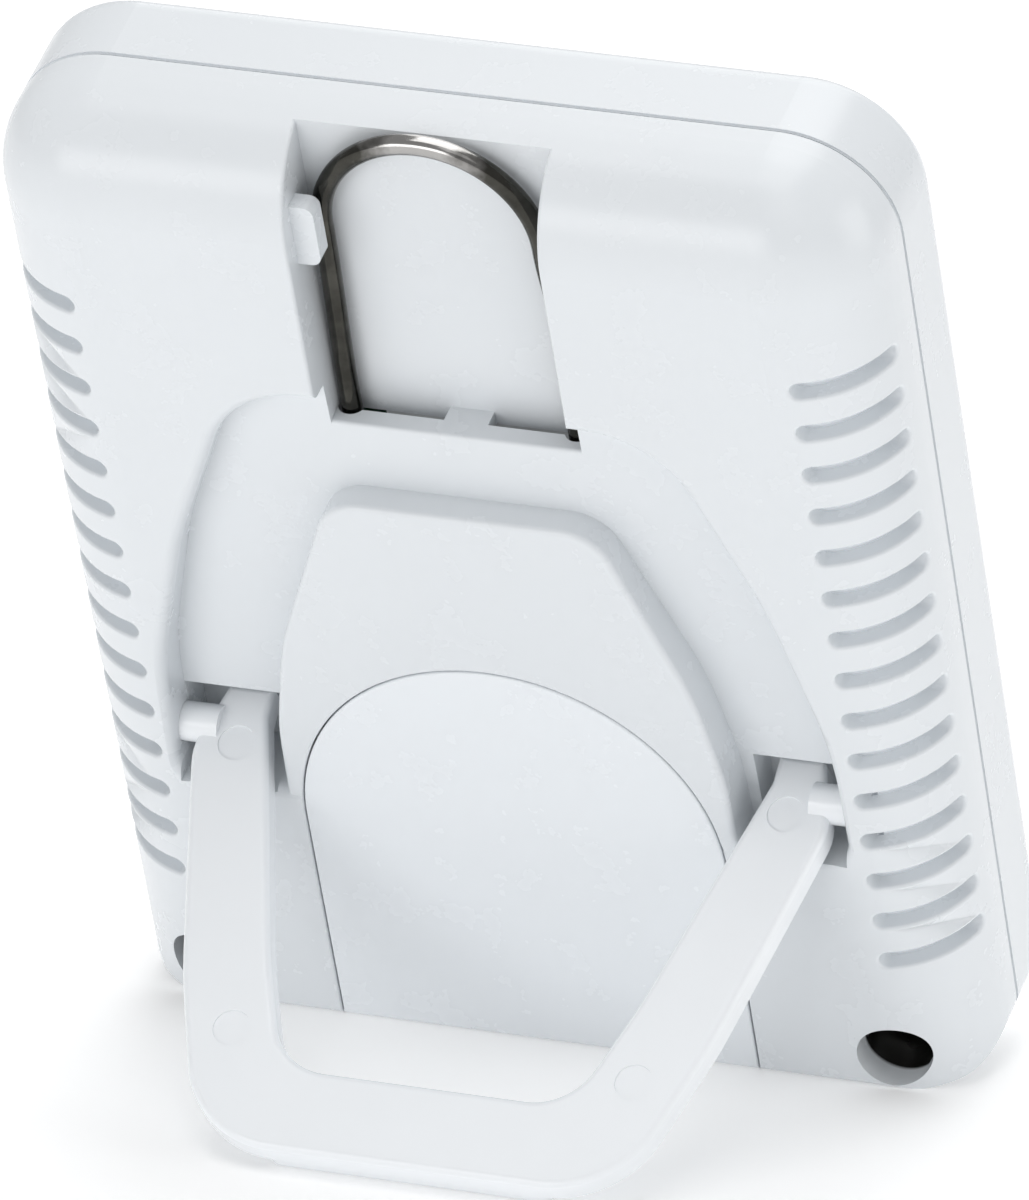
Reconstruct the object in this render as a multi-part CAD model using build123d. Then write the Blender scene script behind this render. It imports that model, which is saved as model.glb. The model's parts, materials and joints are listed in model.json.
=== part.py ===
from build123d import *
from math import asin, atan2, cos, degrees, hypot, radians, sin
import os

# Free-standing indoor weather station: a flat white housing with a display in front, side vents,
# a fold-out stand and a slide-up wire hook behind, and a battery door.
#
# Everything is modelled upright first: X is the width, Z the height from the bottom edge, and the
# back plane is Y = 0 with the front towards -Y.  "Depth" is the distance in front of the back plane.
# At the end the whole object is leaned back onto its bottom edge and the foot of its stand, and its
# origin goes to the centre of its footprint on the table.  All sizes are in millimetres.

# ---- driving dimensions -------------------------------------------------------------------------
width = 90.0
height = 111.6
housing_depth = 22.5
parting_depth = 12.8            # where the rear and the front shell meet
wall = 2.0
shoulder_r = 10.6               # round from the back plane into the sides and the top
top_corner_r = 11.2
bottom_corner_r = 3.2
bottom_edge_r = 1.2
hook_rim_r = 0.35               # rounds on the rims of the recesses and seams
moat_rim_r = 1.2
panel_rim_r = 0.6
door_rim_r = 0.25
vent_rim_r = 0.35
ledge_rim_r = 0.4
front_edge_r = 2.6
gap = 0.3                       # between pieces that move past each other

vent_count = 15
vent_pitch = 5.2
vent_top = 90.0
vent_height = 1.9
vent_inner_x = 36.35
vent_depth = 8.2

hook_half = 12.85               # recess for the wire hook
hook_floor = 7.1
ledge_z = 76.8
window_x = (2.0, -2.5)          # inner ends of the ledge's two windows
window_depth = 5.1
wire_r = 1.03
hook_r = 11.15
hook_x = 0.05                   # the arch's centre; the legs spread a little below it
hook_z = 99.65
hook_leg_x = (11.62, -11.62)
hook_leg_top = (78.6, 91.0)
hook_depth = 5.6
hook_foot_z = 57.5
hook_foot = 4.2
hook_travel = 16.0

axis_depth = 3.6                # stand hinge
axis_z = 34.2
stand_drop = 22.2               # degrees below level, in the housing's own frame
leg_top = 0.96                  # leg faces, measured from the hinge axis
leg_thick = 2.8
pin_r = 2.0
pin_clear = 0.06
hub_x = (26.3, 32.3)
hub_back = 4.1
stand_reach = 44.2
rib_drop = 1.7
foot_r = 0.6

moat_floor_high = 2.9           # recess floor depth at the ledge and at the hinge pockets
moat_floor_low = 4.8
pocket_x = (24.6, 34.7)
pocket_z = (29.4, 38.4)
pocket_depth = 8.7

door_half = 21.85               # battery door
door_arch_z = 27.0
door_thick = 1.8
door_top = door_arch_z + door_half
door_gap = 0.16
seam_half = 0.2                 # groove where the two shells meet
seam_depth = 0.2
door_flange = 8.0

cell_r = 5.25                   # AAA cells
cell_length = 44.5
cell_x = 5.6
cell_depth = 7.75
contact_thick = 0.4
spring_length = 2.3
tab_x = (8.0, 10.0)             # solder tabs of the battery contacts
tab_depth = (9.0, 9.4)
tab_top = 54.0
bay_half = 11.6
bay_z = (2.4, 50.2)
bay_floor = 13.0

screw_x = 36.3
screw_z = 4.4
screw_bore_r = 3.7
screw_seat = 9.0

board_depth = (14.6, 16.2)
board_half = 36.0
board_z = (13.0, 106.0)

post_x = 33.0
post_z = (27.0, 103.0)

sensor_x = 31.5
sensor_z = 58.0
chip_z = 55.0

lens_half = 37.0
lens_z = (36.0, 104.0)
lens_thick = 1.5
view_half = 32.0
view_z = (42.0, 95.5)
glass_half = 33.5
glass_z = (40.5, 97.0)
glass_depth = (18.3, 20.3)

button_x = (-19.0, 0.0, 19.0)
button_z = 22.0
button_size = (13.0, 5.4)
button_proud = 0.6
button_travel = 0.5

front_inner = housing_depth - wall
liner_inset = 2.5               # vent liners, inside the shell
liner_edge_x = 33.2
liner_thick = 1.0
liner_x = width / 2 - liner_inset


# ---- helpers ------------------------------------------------------------------------------------
def depth_plane(depth):
    """Sketch plane at a depth: x is X, y is Z, and it looks towards the front."""
    return Plane.XZ.offset(depth)


def prism(sketch, start, end):
    return extrude(depth_plane(start) * sketch, amount=end - start)


def block(x, z, depth):
    """Box from (low, high) spans of X, Z and depth."""
    size = (x[1] - x[0], depth[1] - depth[0], z[1] - z[0])
    return Pos((x[0] + x[1]) / 2, -(depth[0] + depth[1]) / 2, (z[0] + z[1]) / 2) * Box(*size)


def both_sides(shape):
    return shape + mirror(shape, about=Plane.YZ)


def rod(x, z, radius, start, end):
    """Round bar along the depth."""
    return prism(Pos(x, z) * Circle(radius), start, end)


def symmetric_outline(corners, radii):
    """Closed outline from its +X half, listed from the top centre down, with a radius a corner."""
    half = FilletPolyline(*corners, radius=radii)
    closing = Line(corners[-1], corners[0])
    side = make_face([*half.edges(), closing])
    return (side + mirror(side, about=Plane.YZ)).clean()


def merged(*shapes):
    whole = shapes[0]
    for shape in shapes[1:]:
        whole = whole + shape
    return whole


def soft_cutter(sketch, depth, radius):
    """Cutter for a pocket in the back plane that leaves the pocket's rim rounded."""
    box = prism(Rectangle(300, 300), -3, 0)
    cutter = box + prism(sketch, 0, depth)
    rim = [edge for edge in cutter.edges() if abs(edge.center().Y) < 0.01
           and abs(edge.center().X) < 100 and abs(edge.center().Z) < 140]
    return fillet(rim, radius)


def rounded_boss(sketch, depth, radius):
    """Boss that reaches the back plane with a rounded edge."""
    boss = prism(sketch, 0, depth)
    return fillet(boss.faces().sort_by(Axis.Y)[-1].edges(), radius)


# ---- outer form ---------------------------------------------------------------------------------
def outline(inset, bottom_r):
    sketch = Pos(0, height / 2) * Rectangle(width - 2 * inset, height - 2 * inset)
    upper = sketch.vertices().group_by(Axis.Y)[-1]
    sketch = fillet(upper, top_corner_r - inset)
    if bottom_r > 0:
        sketch = fillet(sketch.vertices().group_by(Axis.Y)[0], bottom_r)
    return sketch


def form(inset, end, front_r=0.0):
    """The housing's outer form, moved in by an inset and cut off at a depth."""
    body = prism(outline(inset, 0), inset, end)
    back = body.faces().sort_by(Axis.Y)[-1]
    rounded = [edge for edge in back.edges() if edge.center().Z > inset + 1]
    body = fillet(rounded, shoulder_r - inset)
    body = body & prism(outline(inset, max(bottom_corner_r - inset, 0.3)), 0, end)
    side = Pos(-end / 2, height / 2) * Rectangle(end, height - 2 * inset)
    side = fillet(side.vertices().group_by(Axis.Y)[0].sort_by(Axis.X)[-1], bottom_edge_r)
    body = body & extrude(Plane.YZ * side, amount=width, both=True)
    if front_r > 0:
        body = fillet(body.faces().sort_by(Axis.Y)[0].edges(), front_r)
    return body


# ---- shapes shared by the rear shell and its neighbours -----------------------------------------
def recess_outline(grow=0.0):
    """Plan of the stand's recess: inside the curved outer wall, outside the raised panel."""
    top = 81.6 + grow
    base = 30.0 - grow
    corners = [(0, top), (21.6 + 0.8 * grow, top), (30.0 + grow, 61.5), (34.6 + grow, 44.0),
               (34.9 + grow, base), (0, base)]
    return symmetric_outline(corners, [11.0, 45.0, 45.0, 2.0])


def panel_outline(grow=0.0):
    top = 68.7 + grow
    corners = [(0, top), (13.8 + 0.6 * grow, top), (21.4 + grow, 49.0), (23.3 + grow, 38.0),
               (23.5 + grow, 29.0), (0, 29.0)]
    return symmetric_outline(corners, [5.0, 40.0, 30.0, 0.5])


def above_floor(extra=0.0):
    """Everything behind the recess's sloping floor, moved forwards by extra."""
    slope = degrees(atan2(moat_floor_low - moat_floor_high, ledge_z - pocket_z[1]))
    slab = Pos(0, 20, 0) * Box(120, 40, 160)
    return Pos(0, -moat_floor_high - extra, ledge_z) * Rot(-slope, 0, 0) * slab


def door_outline(grow=0.0):
    radius = door_half + grow
    arch = Pos(0, door_arch_z) * Circle(radius)
    below = Pos(0, door_arch_z / 2 - 5) * Rectangle(2 * radius, door_arch_z + 10)
    return (arch + below).clean()


def vents():
    """Cutters for the vents of one side, rounded at the back's end and at the side's end."""
    radius = vent_height / 2
    from_back = Pos(50, 0) * SlotOverall(2 * (50 - vent_inner_x), vent_height)
    cutter = prism(from_back, -1, vent_depth + 1)
    cutter = cutter & extrude(Plane.YZ * SlotOverall(2 * vent_depth, vent_height), amount=60, both=True)
    single = cutter & block((vent_inner_x - radius, 60), (-radius, radius), (-1, vent_depth + 1))
    return [Pos(0, 0, vent_top - vent_pitch * row) * single for row in range(vent_count)]


def is_vent_rim(edge, skin):
    """Whether an edge is where a vent breaks through the outer skin."""
    middle = edge.center()
    if abs(middle.X) < vent_inner_x - 1:
        return False
    row = round((vent_top - middle.Z) / vent_pitch)
    if not 0 <= row < vent_count or abs(vent_top - vent_pitch * row - middle.Z) > vent_height:
        return False
    return all(skin.distance_to(Vertex(*(edge @ share))) < 0.01 for share in (0.1, 0.5, 0.9))


def hub_boss():
    """Bearing walls for the stand's pins, outside the hinge pockets."""
    return both_sides(block((pocket_x[1] + 0.3, pocket_x[1] + 2.6), (29.2, 39.4), (0.6, 9.6)))


def make_rear_housing():
    outer = form(0, parting_depth - 0.05)
    outer = outer - block((-hook_half, hook_half), (ledge_z, height + 5), (-5, hook_floor))
    recess_rims = [edge for edge in outer.edges() if abs(abs(edge.center().X) - hook_half) < 0.01
                   and edge.center().Y > -hook_floor + 0.1 and edge.center().Z > ledge_z + 0.1]
    outer = fillet(recess_rims, hook_rim_r)
    skin = Compound(outer.faces())
    for slot in vents():
        outer = outer - slot - mirror(slot, about=Plane.YZ)
    outer = fillet([edge for edge in outer.edges() if is_vent_rim(edge, skin)], vent_rim_r)
    cavity = form(wall, parting_depth)

    moat_tub = prism(recess_outline(1.6), 0, 7) - prism(panel_outline(-1.8), -1, 8)
    moat_tub = moat_tub & above_floor(1.0)
    hook_tub = block((-hook_half - 1.5, hook_half + 1.5), (ledge_z - 1.5, height),
                     (0, hook_floor + 1.4))
    pocket_tub = both_sides(block((pocket_x[0] - 1.2, pocket_x[1] + 1.2),
                                  (pocket_z[0] - 1.4, pocket_z[1] + 1.2), (0, pocket_depth + 1.2)))
    bay_tub = block((-bay_half - 1.3, bay_half + 1.3), (0, bay_z[1] + 1.3), (wall, bay_floor + 1.2))
    door_seat = prism(door_outline(1.6), wall, wall + 1.4)
    bosses = both_sides(rod(screw_x, screw_z, screw_bore_r + 1.3, 0, parting_depth - 0.1))
    pad_heights = [vent_top - vent_pitch * (row + 0.5) for row in (1, 5, 9, 13)]
    pads = [block((liner_x, liner_x + 1.4), (z - 0.6, z + 0.6), (9.0, parting_depth - 0.1))
            for z in pad_heights]
    inside = merged(moat_tub, hook_tub, pocket_tub, bay_tub, door_seat, bosses, hub_boss(),
                    *[both_sides(pad) for pad in pads])
    shell = (outer - cavity) + (inside & outer)

    moat = soft_cutter(recess_outline(), 7, moat_rim_r) - rounded_boss(panel_outline(), 8, panel_rim_r)
    moat = moat & above_floor()
    pocket = both_sides(block(pocket_x, pocket_z, (-1, pocket_depth)))
    bearing = extrude(Plane.YZ * (Pos(-axis_depth, axis_z) * Circle(pin_r + pin_clear)),
                      amount=pocket_x[1] + 1.9, both=True)
    bearing = bearing & both_sides(block((pocket_x[0] + 1, 40), pocket_z, (-1, pocket_depth)))
    hole_length = 26.0
    hole = Pos(0, -hook_depth, ledge_z + 0.1 - hole_length / 2) * Cylinder(wire_r + gap, hole_length)
    legs = merged(*[Pos(x, 0, 0) * hole for x in hook_leg_x])
    window_z = (ledge_z - 3, ledge_z + 1)
    windows = merged(block((window_x[0], hook_leg_x[0]), window_z, (window_depth, hook_floor)),
                     block((hook_leg_x[1], window_x[1]), window_z, (window_depth, hook_floor)))
    door_cut = soft_cutter(door_outline(door_gap), wall, door_rim_r)
    flange_cut = block((-door_half - door_gap, door_half + door_gap), (-1, 1.15),
                       (-1, door_flange + 0.3))
    bay = block((-bay_half, bay_half), bay_z, (wall - 0.01, bay_floor))
    tabs = both_sides(block((tab_x[0] - gap, tab_x[1] + gap), (bay_z[1] - 1, bay_z[1] + 3),
                            (tab_depth[0] - gap, tab_depth[1] + gap)))
    screws = both_sides(rod(screw_x, screw_z, screw_bore_r, -1, screw_seat)
                        + rod(screw_x, screw_z, 1.6, screw_seat - 1, parting_depth + 1))
    groove = prism(outline(-1, bottom_corner_r), parting_depth - seam_half, parting_depth + 1) \
        - prism(outline(seam_depth, bottom_corner_r), parting_depth - 1, parting_depth + 2)
    shell = shell - merged(moat, pocket, bearing)
    ledge_rim = [edge for edge in shell.edges().filter_by(Axis.X)
                 if abs(edge.center().Z - ledge_z) + abs(edge.center().Y + moat_floor_high) < 0.07]
    shell = fillet(ledge_rim, ledge_rim_r)
    shell = shell - merged(legs, windows, door_cut, flange_cut, bay, tabs, screws, groove)
    nub = block((hook_half - 2.4, hook_half + 0.5), (97.2, 104.2), (2.2, hook_depth - wire_r - gap))
    nub = fillet(nub.edges().filter_by(Axis.Y).group_by(Axis.X)[0], 1.0)
    return shell + nub


def make_front_housing():
    outer = form(0, housing_depth, front_edge_r) - block((-60, 60), (-10, 130), (-1, parting_depth + 0.05))
    cavity = form(wall, front_inner) - block((-60, 60), (-10, 130), (-1, parting_depth - 0.1))
    bosses = both_sides(rod(screw_x, screw_z, 3.4, parting_depth + 0.1, front_inner + 0.5))
    posts = [rod(x, z, 2.6, board_depth[1], front_inner + 0.5) for x, z in board_holes()]
    inside = form(0, housing_depth, front_edge_r) & merged(bosses, *posts)
    shell = (outer - cavity) + inside
    lens_seat = plate(lens_half + 0.2, (lens_z[0] - 0.2, lens_z[1] + 0.2),
                      (housing_depth - lens_thick - 0.1, housing_depth + 1), 4)
    cuts = [lens_seat, plate(view_half, view_z, (front_inner - 2, housing_depth + 1), 2),
            both_sides(rod(screw_x, screw_z, 1.15, parting_depth, front_inner - 0.6))]
    key_hole = SlotOverall(button_size[0] + 0.6, button_size[1] + 0.6)
    cuts += [prism(Pos(x, button_z) * key_hole, front_inner - 2, housing_depth + 1) for x in button_x]
    cuts += [rod(x, z, 0.85, board_depth[1] - 1, front_inner + 0.6) for x, z in board_holes()]
    groove = prism(outline(-1, bottom_corner_r), parting_depth - 1, parting_depth + seam_half) \
        - prism(outline(seam_depth, bottom_corner_r), parting_depth - 2, parting_depth + 2)
    return shell - merged(*cuts, groove)


def board_holes():
    return [(x, z) for x in (-post_x, post_x) for z in post_z]


def make_battery_door():
    plate = prism(door_outline() & (Pos(0, 40) * Rectangle(90, 80)), 0, door_thick)
    seam = [edge for edge in plate.faces().sort_by(Axis.Y)[-1].edges() if edge.center().Z > 1]
    plate = fillet(seam, door_rim_r)
    flange = block((-door_half, door_half), (0, 0.95), (0, door_flange))
    tab = block((-2, 2), (46.2, door_top - gap), (door_thick - 0.3, wall + 1.3)) \
        + block((-2, 2), (46.2, bay_z[1] - 0.3), (wall + gap, wall + 1.3))
    return ((plate + flange) & form(0, parting_depth)) + tab


# ---- stand --------------------------------------------------------------------------------------
def stand_plane():
    drop = radians(stand_drop)
    return Plane(origin=(0, -axis_depth, axis_z), x_dir=(1, 0, 0), z_dir=(0, sin(drop), cos(drop)))


def make_stand():
    """The stand in its own plane: x across, y out from the hinge axis, z up from the axis."""
    under = leg_top - leg_thick
    outer = FilletPolyline((0, -hub_back), (hub_x[1] - 1.2, -hub_back), (hub_x[1] + 0.9, 3.0),
                           (27.4, 27.5), (21.7, stand_reach), (0, stand_reach),
                           radius=[0.5, 6.0, 60.0, 11.0])
    outside = make_face([*outer.edges(), Line((0, stand_reach), (0, -hub_back))])
    inner = FilletPolyline((0, -hub_back - 2), (hub_x[0], -hub_back - 2), (hub_x[0], -1.2),
                           (19.1, 24.2), (14.9, 35.5), (0, 35.5), radius=[0.5, 3.0, 50.0, 6.5])
    inside = make_face([*inner.edges(), Line((0, 35.5), (0, -hub_back - 2))])
    half = outside - inside
    plan = (half + mirror(half, about=Plane.YZ)).clean()
    legs = Pos(0, 0, under) * extrude(plan, amount=leg_thick)
    rims = [edge for edge in legs.edges() if abs(edge.center().Z - leg_top) < 0.01 and edge.center().Y > 0]
    legs = fillet(rims, 0.7)
    # the last stretch of the upper face turns level, and the end clears the pocket
    bevel = Pos(0, -1.6, leg_top) * Rot(-stand_drop, 0, 0) * (Pos(0, -10, 5) * Box(90, 20, 10))
    legs = legs - bevel
    rib = Pos(0, stand_reach - 1.7, under - rib_drop / 2 + 0.2) * Box(30, 3.4, rib_drop + 0.4)
    rib = fillet(rib.edges().filter_by(Axis.Z), 1.6)
    rib = fillet(rib.faces().sort_by(Axis.Z)[0].edges(), foot_r)
    pin = Rot(0, 90, 0) * Cylinder(pin_r, 2 * (pocket_x[1] + 1.4))
    pin = chamfer(pin.edges(), 0.5)
    pins = pin - Box(2 * (hub_x[1] - 1.5), 20, 20)
    marks = [Pos(x, y, leg_top) * Cylinder(1.9, 0.3) for x, y in ((28.6, 2.1), (20.8, 32.2))]
    marks = merged(*[both_sides(mark) for mark in marks])
    return merged(legs, rib, pins) - marks


def lean_angle():
    """Lean at which the rounded bottom edge and the rounded foot of the stand touch one plane."""
    drop = radians(stand_drop)
    out = stand_reach - foot_r
    down = leg_top - leg_thick - rib_drop + foot_r
    run = -axis_depth + out * cos(drop) + down * sin(drop) + bottom_edge_r
    rise = axis_z - out * sin(drop) + down * cos(drop) - bottom_edge_r
    return degrees(atan2(rise, run) - asin((foot_r - bottom_edge_r) / hypot(rise, run)))


# ---- hook ---------------------------------------------------------------------------------------
def make_hook():
    """Wire hanger: an arch, two legs that spread a little, and feet bent forwards under the ledge."""
    bend = 2.0
    down = (0, 0, -1)
    edges = []
    for side, leg_x, top_z in zip((1, -1), hook_leg_x, hook_leg_top):
        leg_top = (leg_x, -hook_depth, top_z)
        upper = Spline((hook_x + side * hook_r, -hook_depth, hook_z), leg_top, tangents=(down, down))
        lower = FilletPolyline(leg_top, (leg_x, -hook_depth, hook_foot_z),
                               (leg_x, -hook_depth - hook_foot, hook_foot_z), radius=bend)
        edges += [*upper.edges(), *lower.edges()]
    arch = ThreePointArc((hook_x - hook_r, -hook_depth, hook_z), (hook_x, -hook_depth, hook_z + hook_r),
                         (hook_x + hook_r, -hook_depth, hook_z))
    path = Wire([*edges, *arch.edges()])
    start = Plane(origin=path @ 0, z_dir=path % 0)
    return sweep(start * Circle(wire_r), path=path)


# ---- vent liners --------------------------------------------------------------------------------
def make_vent_liner(side):
    """Thin curved screen behind the vents of one side, side = +1 or -1."""
    depth = parting_depth - 0.4
    skin = form(liner_inset, depth) - form(liner_inset + liner_thick, depth + 1)
    skin = skin & block((liner_edge_x, 60), (13.5, 94.5), (0, depth))
    skin = skin - prism(recess_outline(2.0), 0, depth)
    skin = skin - block((30, pocket_x[1] + 3.0), (27.4, 40.0), (0, depth))
    return skin if side > 0 else mirror(skin, about=Plane.YZ)


# ---- display and electronics --------------------------------------------------------------------
def plate(x_half, z_span, depth, corner=0.5):
    sketch = Pos(0, sum(z_span) / 2) * RectangleRounded(2 * x_half, z_span[1] - z_span[0], corner)
    return prism(sketch, *depth)


def make_display():
    rim = 1.6
    outer_z = (glass_z[0] - rim, glass_z[1] + rim)
    frame = plate(glass_half + rim, outer_z, (board_depth[1], glass_depth[1] - 0.05), 1.2)
    frame = frame - plate(glass_half + 0.05, (glass_z[0] - 0.05, glass_z[1] + 0.05), (15, 25), 0.4)
    shelves = both_sides(block((glass_half - 1.5, glass_half + 0.2), glass_z,
                               (board_depth[1], glass_depth[0])))
    strip = Box(2 * glass_half - 9, glass_depth[0] - board_depth[1], 2.0)
    middle = -(board_depth[1] + glass_depth[0]) / 2
    return {
        "display_window": plate(lens_half, lens_z, (housing_depth - lens_thick, housing_depth - 0.05),
                                3.8),
        "lcd_glass": plate(glass_half, glass_z, glass_depth, 0.3),
        "lcd_reflector": plate(glass_half - 2.2, (glass_z[0] + 5.0, glass_z[1] - 5.0),
                               (glass_depth[0] - 0.3, glass_depth[0]), 0.3),
        "lcd_frame": frame + shelves,
        "contact_strips": group(Pos(0, middle, glass_z[0] + 2.2) * strip,
                                Pos(0, middle, glass_z[1] - 2.2) * strip),
    }


def group(*solids):
    """Several separate solids in one node."""
    return Compound([solid for shape in solids for solid in shape.solids()])


def on_board(x, z, size, front=False):
    """Small part standing on the circuit board: size is across, tall, and high off the board."""
    back, face = board_depth
    span = (face, face + size[2]) if front else (back - size[2], back)
    return block((x - size[0] / 2, x + size[0] / 2), (z - size[1] / 2, z + size[1] / 2), span)


def make_board():
    board = plate(board_half, board_z, board_depth, 1.0)
    holes = [rod(x, z, 1.3, board_depth[0] - 1, board_depth[1] + 1) for x, z in board_holes()]
    # slots round the sensors keep the board's warmth away from them
    slots = both_sides(block((sensor_x - 3.4, sensor_x - 2.6), (sensor_z - 4.0, sensor_z + 4.0),
                             (10, 20)))
    return board - merged(*holes, slots)


def make_electronics():
    board_back = board_depth[0]
    dome_r, dome_high = 6.5, 1.4
    ball_r = (dome_r ** 2 + dome_high ** 2) / (2 * dome_high)
    ball = Pos(0, -(board_back + ball_r - dome_high), chip_z) * Sphere(ball_r)
    chip = ball & block((-20, 20), (chip_z - 20, chip_z + 20), (0, board_back))
    crystal = Pos(16.0, -(board_back - 1.05), 62.0) * Cylinder(1.05, 6.2)
    bead = fillet(on_board(-sensor_x, sensor_z, (2.2, 3.4, 1.8)).edges(), 0.7)
    sensor = on_board(sensor_x, sensor_z, (3.0, 3.0, 1.1))
    sensor = sensor - rod(sensor_x, sensor_z, 0.7, 12, board_back - 0.6)
    small, medium, large = (2.0, 1.2, 0.6), (3.2, 1.6, 1.0), (4.0, 3.0, 1.2)
    chips = [on_board(-17.0, 69.0, medium), on_board(-17.0, 73.0, medium), on_board(-8.0, 71.5, large),
             on_board(17.5, 73.5, small), on_board(6.5, 71.5, small), on_board(21.0, 68.0, small)]
    keys = []
    for x in button_x:
        keys += [on_board(x, button_z, (6.0, 6.0, 2.0), front=True)
                 + rod(x, button_z, 1.6, board_depth[1] + 1.9, board_depth[1] + 2.4)]
    return {
        "main_board": make_board(),
        "controller_chip": chip,
        "crystal": crystal,
        "humidity_sensor": sensor,
        "temperature_sensor": bead,
        "board_components": group(*chips),
        "key_switches": group(*keys),
    }


def make_button(x):
    """Front button with a flange that keeps it in its hole."""
    length, tall = button_size
    centre = Pos(x, button_z)
    cap = prism(centre * SlotOverall(length, tall), front_inner - 0.5, housing_depth + button_proud)
    cap = fillet(cap.faces().sort_by(Axis.Y)[0].edges(), 0.5)
    flange = prism(centre * SlotOverall(length + 2.2, tall + 2.2), front_inner - 1.15, front_inner - 0.2)
    return cap + flange


# ---- batteries ----------------------------------------------------------------------------------
def make_cell(side):
    """AAA cell; the +X one points up and the other one down."""
    nub_r, nub_high = 1.9, 1.0
    can = Cylinder(cell_r, cell_length - nub_high)
    can = fillet(can.edges(), 0.5)
    nub = Pos(0, 0, cell_length / 2) * Cylinder(nub_r, nub_high)
    middle = bay_z[0] + contact_thick + spring_length + (cell_length - nub_high) / 2
    cell = can + nub
    if side < 0:
        cell = Rot(180, 0, 0) * cell
        middle = bay_z[1] + bay_z[0] - middle
    return Pos(side * cell_x, -cell_depth, middle) * cell


def make_spring(side):
    coil = Helix(pitch=0.72, height=spring_length - 0.5, radius=2.6)
    wire = sweep(Plane(origin=coil @ 0, z_dir=coil % 0) * Circle(0.22), path=coil)
    low = bay_z[0] + contact_thick + 0.25
    if side < 0:
        wire = Rot(180, 0, 0) * wire
        low = bay_z[1] - contact_thick - 0.25
    return Pos(side * cell_x, -cell_depth, low) * wire


def make_contacts():
    span = (3.6, 12.0)
    link = block((-10.4, 10.4), (bay_z[0], bay_z[0] + contact_thick), span)
    upper = block((1.0, 10.4), (bay_z[1] - contact_thick, bay_z[1]), span)
    tab = block(tab_x, (bay_z[1] - contact_thick, tab_top), tab_depth)
    right = upper + tab
    return group(link, right, mirror(right, about=Plane.YZ))


def make_lead(side):
    """Short insulated wire from a contact's tab to the circuit board."""
    x = side * sum(tab_x) / 2
    start = tab_depth[1] + 0.6
    high = tab_top + 2.6
    route = FilletPolyline((x, -start, tab_top - 2.2), (x, -start, tab_top + 0.6),
                           (x, -start - 2.4, high), (x, -board_depth[0], high), radius=1.0)
    return sweep(Plane(origin=route @ 0, z_dir=route % 0) * Circle(0.55), path=route)


# ---- fasteners ----------------------------------------------------------------------------------
def make_screw(x, z, head_depth, head_r, shank_r, length):
    """Cross-head screw driven from the back, its head's underside at head_depth."""
    head = rod(x, z, head_r, head_depth - 1.9, head_depth)
    head = fillet(head.faces().sort_by(Axis.Y)[-1].edges(), 0.7)
    shank = rod(x, z, shank_r, head_depth - 0.1, head_depth + length)
    shank = chamfer(shank.faces().sort_by(Axis.Y)[0].edges(), 0.4)
    slot = block((x - 1.3, x + 1.3), (z - 0.3, z + 0.3), (head_depth - 2.5, head_depth - 0.9))
    other = block((x - 0.3, x + 0.3), (z - 1.3, z + 1.3), (head_depth - 2.5, head_depth - 0.9))
    return head + shank - slot - other


def make_screws():
    case = [make_screw(side * screw_x, screw_z, screw_seat, 2.7, 1.25, 10.0) for side in (-1, 1)]
    board = [make_screw(x, z, board_depth[0], 2.1, 0.9, 5.0) for x, z in board_holes()]
    return {"case_screws": group(*case), "board_screws": group(*board)}


# ---- assembly -----------------------------------------------------------------------------------
def assemble():
    hinge = stand_plane()
    nodes = {
        "rear_housing": make_rear_housing(),
        "front_housing": make_front_housing(),
        "battery_door": make_battery_door(),
        "stand": hinge * make_stand(),
        "hanging_hook": make_hook(),
        "vent_liner_left": make_vent_liner(1),
        "vent_liner_right": make_vent_liner(-1),
        "left_cell": make_cell(1),
        "right_cell": make_cell(-1),
        "battery_springs": group(make_spring(1), make_spring(-1)),
        "battery_contacts": make_contacts(),
        "red_lead": make_lead(1),
        "black_lead": make_lead(-1),
        "minus_button": make_button(button_x[0]),
        "mode_button": make_button(button_x[1]),
        "plus_button": make_button(button_x[2]),
    }
    nodes.update(make_screws())
    nodes.update(make_display())
    nodes.update(make_electronics())
    return nodes


def place_on_table(nodes):
    """Lean the object back onto its bottom edge and its stand's foot, and centre its footprint."""
    lean = lean_angle()
    leaned = {name: Rot(-lean, 0, 0) * shape for name, shape in nodes.items()}
    boxes = [shape.bounding_box() for shape in leaned.values()]
    low_y = min(box.min.Y for box in boxes)
    high_y = max(box.max.Y for box in boxes)
    floor = min(box.min.Z for box in boxes)
    shift = Pos(0, -(low_y + high_y) / 2, -floor)
    return {name: shift * shape for name, shape in leaned.items()}, shift * Rot(-lean, 0, 0), lean


placed, placement, lean = place_on_table(assemble())
os.makedirs("parts", exist_ok=True)
for name, shape in placed.items():
    export_step(shape, os.path.join("parts", name + ".step"))
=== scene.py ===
import bpy
import bmesh
import json
from math import atan2, cos, pi, radians, sin
from mathutils import Matrix, Vector

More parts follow.
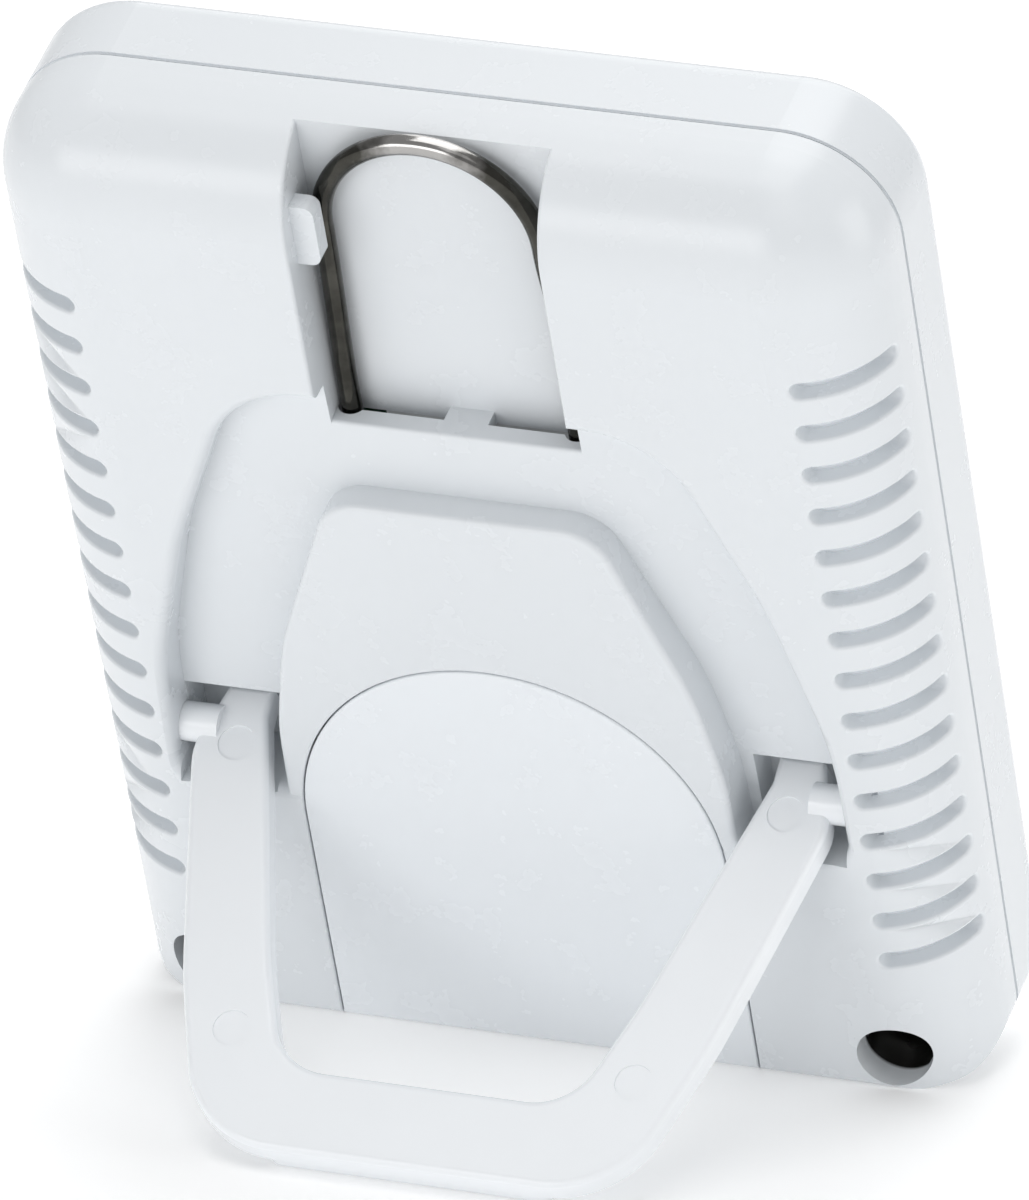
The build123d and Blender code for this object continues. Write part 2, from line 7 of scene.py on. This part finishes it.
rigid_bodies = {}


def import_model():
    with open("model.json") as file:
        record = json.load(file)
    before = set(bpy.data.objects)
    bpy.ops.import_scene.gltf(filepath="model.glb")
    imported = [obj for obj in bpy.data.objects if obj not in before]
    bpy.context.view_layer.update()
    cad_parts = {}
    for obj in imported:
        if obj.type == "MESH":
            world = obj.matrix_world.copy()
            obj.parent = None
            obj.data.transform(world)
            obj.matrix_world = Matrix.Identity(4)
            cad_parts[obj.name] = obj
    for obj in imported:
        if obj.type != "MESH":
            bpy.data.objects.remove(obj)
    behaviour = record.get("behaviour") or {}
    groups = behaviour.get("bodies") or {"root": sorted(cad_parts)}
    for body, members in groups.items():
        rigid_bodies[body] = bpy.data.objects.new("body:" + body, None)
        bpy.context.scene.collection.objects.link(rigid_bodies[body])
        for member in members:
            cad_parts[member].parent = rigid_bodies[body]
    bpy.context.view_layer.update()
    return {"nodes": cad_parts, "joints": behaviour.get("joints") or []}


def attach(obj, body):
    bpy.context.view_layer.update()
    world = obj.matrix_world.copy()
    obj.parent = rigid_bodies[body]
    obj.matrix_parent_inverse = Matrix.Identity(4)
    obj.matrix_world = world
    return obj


# Looks of the indoor weather station: materials, printed and display details, floor, lights, camera.
#
# The CAD model was drawn upright in millimetres and then leaned back.  Places here are given in that
# upright frame too: x across, depth in front of the back plane, z up from the bottom edge.

for leftover in list(bpy.data.objects):
    bpy.data.objects.remove(leftover)
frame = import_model()
nodes = frame["nodes"]
joints = {joint["name"]: joint for joint in frame["joints"]}

# ---- the upright frame --------------------------------------------------------------------------
MM = 0.001
AXIS_DEPTH, AXIS_Z = 3.6, 34.2          # the stand's hinge axis in the upright frame
slide_axis = joints["hook_slide"]["axis"]
LEAN = atan2(slide_axis[1], slide_axis[2])
TURN = Matrix.Rotation(-LEAN, 4, "X")
hinge = Vector(joints["stand_hinge"]["pos_m"])
SHIFT = hinge - TURN @ (Vector((0, -AXIS_DEPTH, AXIS_Z)) * MM)
PLACE = Matrix.Translation(SHIFT) @ TURN @ Matrix.Scale(MM, 4)

PARTING = 12.8                          # depths, from the back plane towards the front
BOARD_BACK = 14.6
GLASS_FRONT = 20.3
LENS_SEAT = 20.9
CAP_FRONT = 23.1
BUTTON_Z = 22.0
BUTTON_X = (-19.0, 0.0, 19.0)
SCREW_X, SCREW_Z, BORE_R = 36.3, 4.4, 3.7
BORE_LIT = (2.5, 2.9)                   # painted shade: the bores turn dark between these depths
BORE_THIN = 2.6                         # where a bore's outer wall starts, from its centre
FIELD_X, FIELD_Z = 12.5, (62.5, 75.5)   # pale field of the board: half width, heights
ARCH_X, ARCH_Z = -0.6, (106.5, 108.5)   # brightened top of the hook's arch, wear and painted highlight: middle, heights
CELL_TOP = 56.0


# ---- node helpers -------------------------------------------------------------------------------
class Shader:
    """A material's node tree with short calls for the nodes that it is made of."""

    def __init__(self, name):
        self.material = bpy.data.materials.new(name)
        self.material.use_nodes = True
        self.tree = self.material.node_tree
        self.tree.nodes.clear()
        output = self.add("ShaderNodeOutputMaterial")
        self.bsdf = self.add("ShaderNodeBsdfPrincipled")
        self.join(self.bsdf.outputs[0], output.inputs["Surface"])
        self.place = self.upright()

    def add(self, kind, **settings):
        node = self.tree.nodes.new(kind)
        for key, value in settings.items():
            setattr(node, key, value)
        return node

    def join(self, source, target):
        self.tree.links.new(source, target)

    def upright(self):
        """Object coordinates turned into the upright frame, in millimetres."""
        coordinates = self.add("ShaderNodeTexCoord")
        mapping = self.add("ShaderNodeMapping", vector_type="TEXTURE")
        mapping.inputs["Location"].default_value = SHIFT
        mapping.inputs["Rotation"].default_value = (-LEAN, 0, 0)
        mapping.inputs["Scale"].default_value = (MM, MM, MM)
        self.join(coordinates.outputs["Object"], mapping.inputs["Vector"])
        return mapping.outputs[0]

    def stretched(self, scale):
        mapping = self.add("ShaderNodeMapping")
        mapping.inputs["Scale"].default_value = scale
        self.join(self.place, mapping.inputs["Vector"])
        return mapping.outputs[0]

    def noise(self, scale, detail=2.0, rough=0.5, vector=None):
        node = self.add("ShaderNodeTexNoise")
        node.inputs["Scale"].default_value = scale
        node.inputs["Detail"].default_value = detail
        node.inputs["Roughness"].default_value = rough
        self.join(vector or self.place, node.inputs["Vector"])
        return node.outputs["Fac"]

    def ramp(self, source, stops, interpolation="LINEAR"):
        node = self.add("ShaderNodeValToRGB")
        node.color_ramp.interpolation = interpolation
        elements = node.color_ramp.elements
        while len(elements) < len(stops):
            elements.new(0.5)
        for element, (position, colour) in zip(elements, stops):
            element.position = position
            element.color = (*colour, 1)
        self.join(source, node.inputs["Fac"])
        return node.outputs["Color"]

    def span(self, source, low, high, start=0.3, end=0.7):
        node = self.add("ShaderNodeMapRange")
        for name, value in (("From Min", start), ("From Max", end), ("To Min", low), ("To Max", high)):
            node.inputs[name].default_value = value
        self.join(source, node.inputs["Value"])
        return node.outputs["Result"]

    def bump(self, height, strength, distance_mm):
        node = self.add("ShaderNodeBump")
        node.inputs["Strength"].default_value = strength
        node.inputs["Distance"].default_value = distance_mm * MM
        self.join(height, node.inputs["Height"])
        self.join(node.outputs["Normal"], self.bsdf.inputs["Normal"])

    def set(self, **values):
        for name, value in values.items():
            self.bsdf.inputs[name.replace("_", " ")].default_value = value

    def colour(self, source):
        self.join(source, self.bsdf.inputs["Base Color"])

    def rough(self, source):
        self.join(source, self.bsdf.inputs["Roughness"])

    def axes(self):
        """The upright x, y and z as separate sockets."""
        split = self.add("ShaderNodeSeparateXYZ")
        self.join(self.place, split.inputs[0])
        return split.outputs["X"], split.outputs["Y"], split.outputs["Z"]

    def maths(self, operation, *operands):
        node = self.add("ShaderNodeMath", operation=operation)
        for socket, operand in zip(node.inputs, operands):
            if isinstance(operand, (int, float)):
                socket.default_value = operand
            else:
                self.join(operand, socket)
        return node.outputs[0]

    def mixed(self, factor, first, second):
        """A colour socket that gives way to a fixed colour as the factor rises."""
        node = self.add("ShaderNodeMix", data_type="RGBA")
        self.join(factor, node.inputs["Factor"])
        self.join(first, node.inputs["A"])
        node.inputs["B"].default_value = (*second, 1)
        return node.outputs["Result"]


def tinted(colour, factor):
    return tuple(min(1.0, channel * factor) for channel in colour)


def plastic(name, colour, rough=(0.34, 0.44), grain=0.012, spread=0.012, **extra):
    """Moulded plastic: faint flow clouds, a satin that varies, and a fine moulded grain."""
    shader = Shader(name)
    clouds = shader.noise(0.045, 3.0)
    shader.colour(shader.ramp(clouds, [(0.3, tinted(colour, 1 - spread)),
                                       (0.7, tinted(colour, 1 + spread))]))
    shader.rough(shader.span(shader.noise(0.16, 4.0, 0.6), *rough))
    shader.bump(shader.noise(1.6, 2.0, 0.5), grain, 0.02)
    shader.set(**extra)
    return shader.material


def metal(name, colour, rough=(0.2, 0.34), lines=(6.0, 6.0, 0.25)):
    """Plated or drawn metal with fine lines along one direction and slight tarnish."""
    shader = Shader(name)
    tarnish = shader.noise(0.35, 4.0, 0.6)
    shader.colour(shader.ramp(tarnish, [(0.35, tinted(colour, 0.82)), (0.65, colour)]))
    drawn = shader.noise(1.0, 3.0, 0.6, shader.stretched(lines))
    shader.rough(shader.span(drawn, *rough))
    shader.bump(drawn, 0.15, 0.01)
    shader.set(Metallic=1.0)
    return shader.material


# ---- materials ----------------------------------------------------------------------------------
WHITE = (0.745, 0.775, 0.802)


def cell_material():
    """Plain printed film: a dark body with a bright band at the cell's positive end."""
    shader = Shader("cell_film")
    height = shader.span(shader.axes()[2], 0.0, 1.0, 0.0, CELL_TOP)
    bare, band, body = (0.5, 0.5, 0.5), (0.62, 0.36, 0.16), (0.035, 0.05, 0.08)
    bands = shader.ramp(height, [(0.0, bare), (0.085, band), (0.24, body), (0.72, body), (0.87, bare)],
                        "CONSTANT")
    shader.colour(bands)
    shader.rough(shader.span(shader.noise(0.6, 3.0), 0.22, 0.34))
    shader.bump(shader.noise(0.8, 2.0), 0.1, 0.03)
    shader.set(Metallic=0.6)
    return shader.material


def board_material():
    """Green solder mask, with a pale field behind the ledge's windows that glows as painted light."""
    shader = Shader("solder_mask")
    weave = shader.noise(1.4, 2.0, 0.5, shader.stretched((1.0, 1.0, 3.0)))
    mask = shader.ramp(weave, [(0.35, (0.012, 0.062, 0.03)), (0.65, (0.02, 0.09, 0.043))])
    x, _, z = shader.axes()
    # painted light: the faint glow stands in for light that comes through the thin white shell
    low, high = FIELD_Z
    from_middle = shader.maths("ABSOLUTE", shader.maths("SUBTRACT", z, (low + high) / 2))
    field = shader.maths("MULTIPLY", shader.maths("LESS_THAN", shader.maths("ABSOLUTE", x), FIELD_X),
                         shader.maths("LESS_THAN", from_middle, (high - low) / 2))
    shader.colour(shader.mixed(field, mask, (0.42, 0.43, 0.44)))
    shader.set(Emission_Color=(0.94, 0.97, 1.0, 1))
    clouds = shader.span(shader.noise(0.3, 2.0), 0.1, 0.16)
    shader.join(shader.maths("MULTIPLY", field, clouds), shader.bsdf.inputs["Emission Strength"])
    shader.rough(shader.span(shader.noise(0.5, 3.0), 0.25, 0.38))
    shader.bump(shader.noise(3.0, 2.0), 0.08, 0.03)
    return shader.material


def glass_material():
    shader = Shader("clear_acrylic")
    shader.set(Base_Color=(0.97, 0.98, 0.985, 1), Transmission_Weight=1.0, IOR=1.49)
    shader.rough(shader.span(shader.noise(0.4, 3.0), 0.01, 0.035))
    shader.bump(shader.noise(0.12, 2.0), 0.04, 0.02)
    return shader.material


def lcd_material():
    """The display's grey-green panel, a little uneven, under a polariser's gloss."""
    shader = Shader("lcd_panel")
    clouds = shader.noise(0.05, 2.0)
    shader.colour(shader.ramp(clouds, [(0.3, (0.40, 0.44, 0.38)), (0.7, (0.44, 0.48, 0.415))]))
    shader.rough(shader.span(shader.noise(0.4, 2.0), 0.16, 0.24))
    shader.bump(shader.noise(6.0, 1.0), 0.03, 0.01)
    return shader.material


def case_material():
    """The case's white plastic; painted shade darkens the deep screw bores towards the bottom."""
    shader = Shader("case_abs")
    x, y, z = shader.axes()
    across = shader.maths("SUBTRACT", shader.maths("ABSOLUTE", x), SCREW_X)
    up = shader.maths("SUBTRACT", z, SCREW_Z)
    radius = shader.maths("SQRT", shader.maths("ADD", shader.maths("MULTIPLY", across, across),
                                               shader.maths("MULTIPLY", up, up)))
    inside = shader.maths("LESS_THAN", radius, BORE_R + 0.08)
    # the outer wall is the case's thin side, so the painted shade starts further down along it
    outer = shader.maths("MAXIMUM", shader.maths("SUBTRACT", across, BORE_THIN), 0.0)
    lit = shader.maths("MULTIPLY", outer, 6.0)
    deep = shader.span(shader.maths("ADD", y, lit), 0.0, 1.0, -BORE_LIT[0], -BORE_LIT[1])
    rear = shader.maths("GREATER_THAN", y, -PARTING)
    shade = shader.maths("MULTIPLY", shader.maths("MULTIPLY", inside, rear), deep)
    clouds = shader.noise(0.045, 3.0)
    white = shader.ramp(clouds, [(0.3, tinted(WHITE, 0.995)), (0.7, tinted(WHITE, 1.005))])
    # painted shade: a near-black colour is mixed in deep inside the screw bores
    shader.colour(shader.mixed(shade, white, (0.012, 0.012, 0.011)))
    shader.rough(shader.span(shader.noise(0.16, 4.0, 0.6), 0.26, 0.28))
    shader.bump(shader.noise(1.6, 2.0, 0.5), 0.004, 0.02)
    return shader.material


def hook_material():
    """Dark nickel wire, brighter at the top of the arch: partly rubbed plating, partly a painted
    highlight.
    """
    shader = Shader("dark_nickel")
    x, _, z = shader.axes()
    across = shader.maths("ABSOLUTE", shader.maths("SUBTRACT", x, ARCH_X))
    uneven = shader.span(shader.noise(0.5, 3.0), -1.2, 1.2)
    highlight_reach = shader.span(shader.maths("ADD", across, uneven), 1.0, 0.0, 3.0, 6.5)
    high = shader.span(z, 0.0, 1.0, *ARCH_Z)
    wear_and_painted_highlight = shader.maths("MULTIPLY", highlight_reach, high)
    tarnish = shader.noise(0.35, 4.0, 0.6)
    plating = shader.ramp(tarnish, [(0.35, (0.042, 0.041, 0.036)), (0.65, (0.072, 0.07, 0.062))])
    # painted highlight: lighter plating colour at the arch's top, partly standing for rubbed wear
    shader.colour(shader.mixed(wear_and_painted_highlight, plating, (0.42, 0.41, 0.4)))
    drawn = shader.noise(1.0, 3.0, 0.6, shader.stretched((6.0, 6.0, 0.25)))
    shader.rough(shader.span(drawn, 0.1, 0.2))
    shader.bump(drawn, 0.1, 0.01)
    shader.set(Metallic=1.0)
    return shader.material


case = case_material()
door = plastic("door_abs", (0.825, 0.857, 0.887), rough=(0.26, 0.28), grain=0.004, spread=0.005)
# painted light: the stand's white is lighter than the case's, to make up for the shade on its legs
stand = plastic("stand_plastic_brightened", (0.89, 0.915, 0.94), rough=(0.17, 0.23), spread=0.008)
# painted light: the vent liners glow white, though they are no lamp
liner = plastic("liner_plastic_glowing", (0.84, 0.865, 0.89), rough=(0.45, 0.55),
                Emission_Color=(0.94, 0.97, 1.0, 1), Emission_Strength=0.2)
dark = plastic("dark_plastic", (0.018, 0.018, 0.02), rough=(0.3, 0.42), spread=0.2)
grey_key = plastic("key_plastic", (0.36, 0.375, 0.39), rough=(0.28, 0.38), spread=0.03)
reflector = plastic("grey_film", (0.42, 0.44, 0.4), rough=(0.5, 0.6))
rubber_pink = plastic("strip_rubber", (0.5, 0.3, 0.33), rough=(0.5, 0.65), grain=0.2, spread=0.08)
insulation_red = plastic("insulation_red", (0.42, 0.012, 0.01), rough=(0.35, 0.5), spread=0.08)
insulation_black = plastic("insulation_black", (0.014, 0.014, 0.015), rough=(0.35, 0.5), spread=0.2)
epoxy = plastic("black_epoxy", (0.01, 0.01, 0.011), rough=(0.18, 0.3), spread=0.2)
sensor_white = plastic("sensor_plastic", (0.68, 0.68, 0.66), rough=(0.4, 0.5))
component = plastic("component_body", (0.05, 0.042, 0.036), rough=(0.3, 0.45), spread=0.25)
printed_white = plastic("printed_white", (0.8, 0.8, 0.79), rough=(0.4, 0.5), spread=0.03)
# painted light: the board's printed strokes glow, to read bright through the ledge's windows
glowing_stroke_white = plastic("glowing_stroke_white", (0.8, 0.8, 0.79), rough=(0.4, 0.5), spread=0.03,
                       Emission_Color=(1, 1, 1, 1), Emission_Strength=0.62)
# painted light: the printed border glows, in place of the light that passes through the window
glowing_border_white = plastic("border_ink_glowing", (0.8, 0.82, 0.84), rough=(0.2, 0.3),
                       Emission_Color=(1, 1, 1, 1), Emission_Strength=0.3)
segment_ink = plastic("segment_ink", (0.022, 0.026, 0.022), rough=(0.3, 0.4), spread=0.1)
hook_metal = hook_material()
screw_metal = metal("zinc_plate", (0.46, 0.455, 0.44), rough=(0.22, 0.38), lines=(3.0, 3.0, 3.0))
spring_metal = metal("spring_nickel", (0.62, 0.61, 0.58), rough=(0.18, 0.3), lines=(8.0, 8.0, 8.0))
contact_metal = metal("contact_nickel", (0.66, 0.645, 0.61), rough=(0.2, 0.34), lines=(0.6, 8.0, 8.0))
can_metal = metal("tinned_can", (0.62, 0.62, 0.61), rough=(0.16, 0.28))

FINISH = {
    "rear_housing": case, "front_housing": case, "battery_door": door, "stand": stand,
    "hanging_hook": hook_metal, "vent_liner_left": liner, "vent_liner_right": liner,
    "left_cell": cell_material(), "battery_springs": spring_metal, "battery_contacts": contact_metal,
    "red_lead": insulation_red, "black_lead": insulation_black, "minus_button": grey_key,
    "mode_button": grey_key, "plus_button": grey_key, "case_screws": screw_metal,
    "board_screws": screw_metal, "display_window": glass_material(), "lcd_glass": lcd_material(),
    "lcd_reflector": reflector, "lcd_frame": dark, "contact_strips": rubber_pink,
    "main_board": board_material(), "controller_chip": epoxy, "crystal": can_metal,
    "humidity_sensor": sensor_white, "temperature_sensor": epoxy, "board_components": component,
    "key_switches": dark,
}
FINISH["right_cell"] = FINISH["left_cell"]
for name, finish in FINISH.items():
    data = nodes[name].data
    data.materials.clear()
    data.materials.append(finish)


# ---- flat drawn details -------------------------------------------------------------------------
class Sheet:
    """Flat shapes in the upright x, z plane, made into one thin piece that rides on a body."""

    def __init__(self):
        self.mesh = bmesh.new()

    def polygon(self, points):
        corners = [self.mesh.verts.new((x, 0, z)) for x, z in points]
        self.mesh.faces.new(corners)

    def bar(self, start, end, width, trim=0.0):
        (x0, z0), (x1, z1) = start, end
        along = Vector((x1 - x0, z1 - z0)).normalized()
        across = Vector((-along.y, along.x)) * width / 2
        a = Vector((x0, z0)) + along * trim
        b = Vector((x1, z1)) - along * trim
        if trim > 0:                    # pointed ends, as a display's segments have
            tip = along * width / 2
            points = [a - tip, a - across, b - across, b + tip, b + across, a + across]
        else:
            points = [a - across, b - across, b + across, a + across]
        self.polygon([tuple(point) for point in points])

    def ring(self, centre, outer, inner, start=0.0, end=360.0, steps=40):
        count = max(3, int(steps * (end - start) / 360))
        angles = [radians(start + (end - start) * i / count) for i in range(count + 1)]
        closed = end - start >= 360
        rows = []
        for angle in angles[:-1] if closed else angles:
            rows.append([self.mesh.verts.new((centre[0] + r * cos(angle), 0, centre[1] + r * sin(angle)))
                         for r in (outer, inner)])
        pairs = list(zip(rows, rows[1:] + ([rows[0]] if closed else [])))
        for (a, b), (c, d) in pairs:
            self.mesh.faces.new((a, c, d, b))

    def disc(self, centre, radius, steps=32):
        turns = [2 * pi * i / steps for i in range(steps)]
        self.polygon([(centre[0] + radius * cos(turn), centre[1] + radius * sin(turn)) for turn in turns])

    def piece(self, name, body, finish, slot, depth, thick, towards_front=True):
        """Gives the sheet its thickness, from depth towards the front or the back."""
        bmesh.ops.solidify(self.mesh, geom=self.mesh.faces[:], thickness=thick)
        lows = [v.co.y for v in self.mesh.verts]
        offset = -depth - (max(lows) if towards_front else min(lows))
        bmesh.ops.translate(self.mesh, verts=self.mesh.verts[:], vec=(0, offset, 0))
        bmesh.ops.recalc_face_normals(self.mesh, faces=self.mesh.faces[:])
        data = bpy.data.meshes.new(name)
        self.mesh.to_mesh(data)
        self.mesh.free()
        data.transform(PLACE)
        data.materials.append(finish)
        made = bpy.data.objects.new(name, data)
        bpy.context.scene.collection.objects.link(made)
        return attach(made, body)


SEGMENTS = {"0": "abcdef", "1": "bc", "2": "abged", "3": "abgcd", "4": "fgbc", "5": "afgcd",
            "6": "afgedc", "7": "abc", "8": "abcdefg", "9": "abcdfg"}


def digit(sheet, value, x, z, tall, stroke):
    """A seven-segment digit with its lower left corner at x, z."""
    wide, half, slant = tall * 0.5, tall / 2, 0.07
    at = {"nw": (0, tall), "ne": (wide, tall), "w": (0, half), "e": (wide, half),
          "sw": (0, 0), "se": (wide, 0)}
    ends = {"a": ("nw", "ne"), "b": ("ne", "e"), "c": ("e", "se"), "d": ("sw", "se"), "e": ("w", "sw"),
            "f": ("nw", "w"), "g": ("w", "e")}
    for segment in SEGMENTS[value]:
        points = [(x + at[end][0] + slant * at[end][1], z + at[end][1]) for end in ends[segment]]
        sheet.bar(*points, stroke, trim=stroke * 0.62)


def number(sheet, text, x, z, tall, stroke):
    for letter in text:
        if letter == ".":
            sheet.disc((x - tall * 0.08, z), stroke * 0.62)
            x += tall * 0.1
        elif letter == ":":
            for share in (0.3, 0.7):
                sheet.disc((x + tall * 0.02, z + tall * share), stroke * 0.62)
            x += tall * 0.22
        else:
            digit(sheet, letter, x, z, tall, stroke)
            x += tall * 0.74
    return x


def make_display():
    digits = Sheet()
    end = number(digits, "22.5", -25.0, 62.5, 15.5, 1.9)
    number(digits, "12:00", 3.5, 83.0, 7.0, 0.85)
    humid_end = number(digits, "48", -25.0, 46.0, 10.5, 1.3)
    # degree ring with a C, and a percent sign
    digits.ring((end + 1.6, 76.6), 1.25, 0.7, steps=28)
    digits.ring((end + 6.2, 74.0), 3.1, 2.2, 50, 310)
    digits.ring((humid_end + 1.2, 54.8), 1.15, 0.6, steps=28)
    digits.ring((humid_end + 4.6, 50.4), 1.15, 0.6, steps=28)
    digits.bar((humid_end + 1.0, 49.4), (humid_end + 4.8, 55.8), 0.6)
    digits.piece("lcd_digits", "housing", segment_ink, "frame_black", GLASS_FRONT + 0.02, 0.06)

    icons = Sheet()
    # a sun behind a cloud
    sun_x, sun_z = -19.5, 88.2
    icons.ring((sun_x, sun_z), 2.7, 2.1, 30, 235)
    for turn in range(1, 7):
        angle = radians(10 + 36 * turn)
        reach = [(sun_x + r * cos(angle), sun_z + r * sin(angle)) for r in (3.6, 4.8)]
        icons.bar(*reach, 0.6)
    icons.ring((-17.5, 83.6), 2.4, 1.8, 95, 270)
    icons.ring((-14.0, 85.2), 3.3, 2.7, 8, 165)
    icons.ring((-10.0, 83.9), 2.7, 2.1, -90, 80)
    icons.bar((-17.5, 81.5), (-10.0, 81.5), 0.6)
    # a smiling face, then the lines between the display's rows
    face_x, face_z = 17.5, 51.0
    icons.ring((face_x, face_z), 4.6, 4.0)
    icons.ring((face_x, 51.4), 2.5, 1.95, 205, 335)
    for side in (-1, 1):
        icons.disc((face_x + 1.6 * side, 52.4), 0.5)
    for row_z in (80.0, 59.8):
        icons.bar((-29.0, row_z), (29.0, row_z), 0.25)
    icons.piece("lcd_icons", "housing", segment_ink, "frame_black", GLASS_FRONT + 0.02, 0.06)


def rounded_box(centre, half_x, half_z, radius, steps=8):
    points = []
    for quarter, (sx, sz) in enumerate(((1, 1), (-1, 1), (-1, -1), (1, -1))):
        for i in range(steps + 1):
            angle = radians(90 * quarter + 90 * i / steps)
            points.append((centre[0] + sx * (half_x - radius) + radius * cos(angle),
                           centre[1] + sz * (half_z - radius) + radius * sin(angle)))
    return points


def make_border():
    """Printed border on the back of the display window, glowing with painted light."""
    border = Sheet()
    outer = rounded_box((0, 70.0), 36.8, 33.8, 3.6)
    inner = rounded_box((0, 68.75), 31.2, 26.0, 1.4)
    rows = [[border.mesh.verts.new((x, 0, z)) for x, z in points] for points in (outer, inner)]
    count = len(outer)
    for i in range(count):
        j = (i + 1) % count
        border.mesh.faces.new((rows[0][i], rows[0][j], rows[1][j], rows[1][i]))
    border.piece("window_border", "housing", glowing_border_white, "lens", LENS_SEAT + 0.02, 0.05)


def make_key_marks():
    minus, mode, plus = Sheet(), Sheet(), Sheet()
    minus.bar((BUTTON_X[0] - 1.4, BUTTON_Z), (BUTTON_X[0] + 1.4, BUTTON_Z), 0.55)
    mode.ring((BUTTON_X[1], BUTTON_Z), 1.35, 0.85)
    plus.bar((BUTTON_X[2] - 1.4, BUTTON_Z), (BUTTON_X[2] + 1.4, BUTTON_Z), 0.55)
    plus.bar((BUTTON_X[2], BUTTON_Z + 0.3), (BUTTON_X[2], BUTTON_Z + 1.4), 0.55)
    plus.bar((BUTTON_X[2], BUTTON_Z - 1.4), (BUTTON_X[2], BUTTON_Z - 0.3), 0.55)
    for sheet, name in ((minus, "minus"), (mode, "mode"), (plus, "plus")):
        sheet.piece(name + "_mark", name + "_key", printed_white, "button_grey", CAP_FRONT - 0.03, 0.06)


def make_board_details():
    """Plain printed strokes, where the ledge's windows look in; their material glows as painted light."""
    strokes = Sheet()
    for x, z, wide in ((7.5, 73.6, 1.5), (5.0, 69.3, 1.2), (-8.0, 74.2, 1.6), (-5.0, 73.9, 1.0),
                       (-13.0, 73.4, 1.1)):
        strokes.bar((x - wide / 2, z), (x + wide / 2, z), 0.3)
        strokes.bar((x - wide / 2, z + 0.2), (x - wide / 2, z + 1.5), 0.3)
        strokes.bar((x + wide / 2, z + 0.2), (x + wide / 2, z + 1.5), 0.3)
    strokes.piece("board_strokes", "housing", glowing_stroke_white, "board", BOARD_BACK - 0.04, 0.03, False)


make_display()
make_border()
make_key_marks()
make_board_details()


# ---- floor, light and camera --------------------------------------------------------------------
LIGHTS = (      # name, azimuth, elevation, distance, (width, height), watts
    ("panel", 160, 7, 1.5, (1.1, 0.6), 5.5),
    ("key_box", 200, 45, 1.5, (0.7, 0.7), 0.9),
    ("top_box", 170, 80, 1.4, (0.9, 0.9), 5.0),
    ("crown_box", 0, 68, 1.4, (0.9, 0.9), 6.0),
    ("side_box", 275, 14, 1.5, (0.8, 0.8), 4.0),
    ("front_box", 10, 35, 1.6, (0.9, 0.9), 3.5),
)
WORLD = 0.41
FLOOR_GLOW = 0.2


def make_floor():
    sheet = bmesh.new()
    bmesh.ops.create_circle(sheet, cap_ends=True, segments=96, radius=6.0)
    data = bpy.data.meshes.new("floor")
    sheet.to_mesh(data)
    sheet.free()
    floor = bpy.data.objects.new("floor", data)
    bpy.context.scene.collection.objects.link(floor)
    material = bpy.data.materials.new("floor_paper")
    material.use_nodes = True
    bsdf = material.node_tree.nodes["Principled BSDF"]
    bsdf.inputs["Base Color"].default_value = (0.94, 0.94, 0.94, 1)
    bsdf.inputs["Roughness"].default_value = 0.8
    bsdf.inputs["Specular IOR Level"].default_value = 0.1
    bsdf.inputs["Emission Color"].default_value = (1, 1, 1, 1)
    bsdf.inputs["Emission Strength"].default_value = FLOOR_GLOW
    data.materials.append(material)


def make_light(name, azimuth, elevation, distance, size, power):
    """Soft box of (width, height) aimed at the object's middle; azimuth 0 is in front, at -Y."""
    target = Vector((0, 0, 0.055))
    az, el = radians(azimuth), radians(elevation)
    direction = Vector((sin(az) * cos(el), -cos(az) * cos(el), sin(el)))
    data = bpy.data.lights.new(name, "AREA")
    data.shape = "RECTANGLE"
    data.size, data.size_y = size
    data.energy = power
    lamp = bpy.data.objects.new(name, data)
    lamp.location = target + direction * distance
    lamp.rotation_euler = direction.to_track_quat("Z", "Y").to_euler()
    bpy.context.scene.collection.objects.link(lamp)


def make_camera():
    data = bpy.data.cameras.new("camera")
    data.lens = 452.77
    data.sensor_width = 36.0
    data.clip_end = 50.0
    camera = bpy.data.objects.new("camera", data)
    camera.location = (-0.48299, 1.28564, 0.56366)
    camera.rotation_euler = (radians(69.5066), radians(0.2807), radians(-159.5301))
    bpy.context.scene.collection.objects.link(camera)
    bpy.context.scene.camera = camera


make_floor()
make_camera()
for light in LIGHTS:
    make_light(*light)

world = bpy.data.worlds.new("studio")
bpy.context.scene.world = world
world.use_nodes = True
world.node_tree.nodes["Background"].inputs["Color"].default_value = (1.0, 1.0, 1.0, 1)
world.node_tree.nodes["Background"].inputs["Strength"].default_value = WORLD
bpy.context.scene.view_settings.view_transform = "Standard"
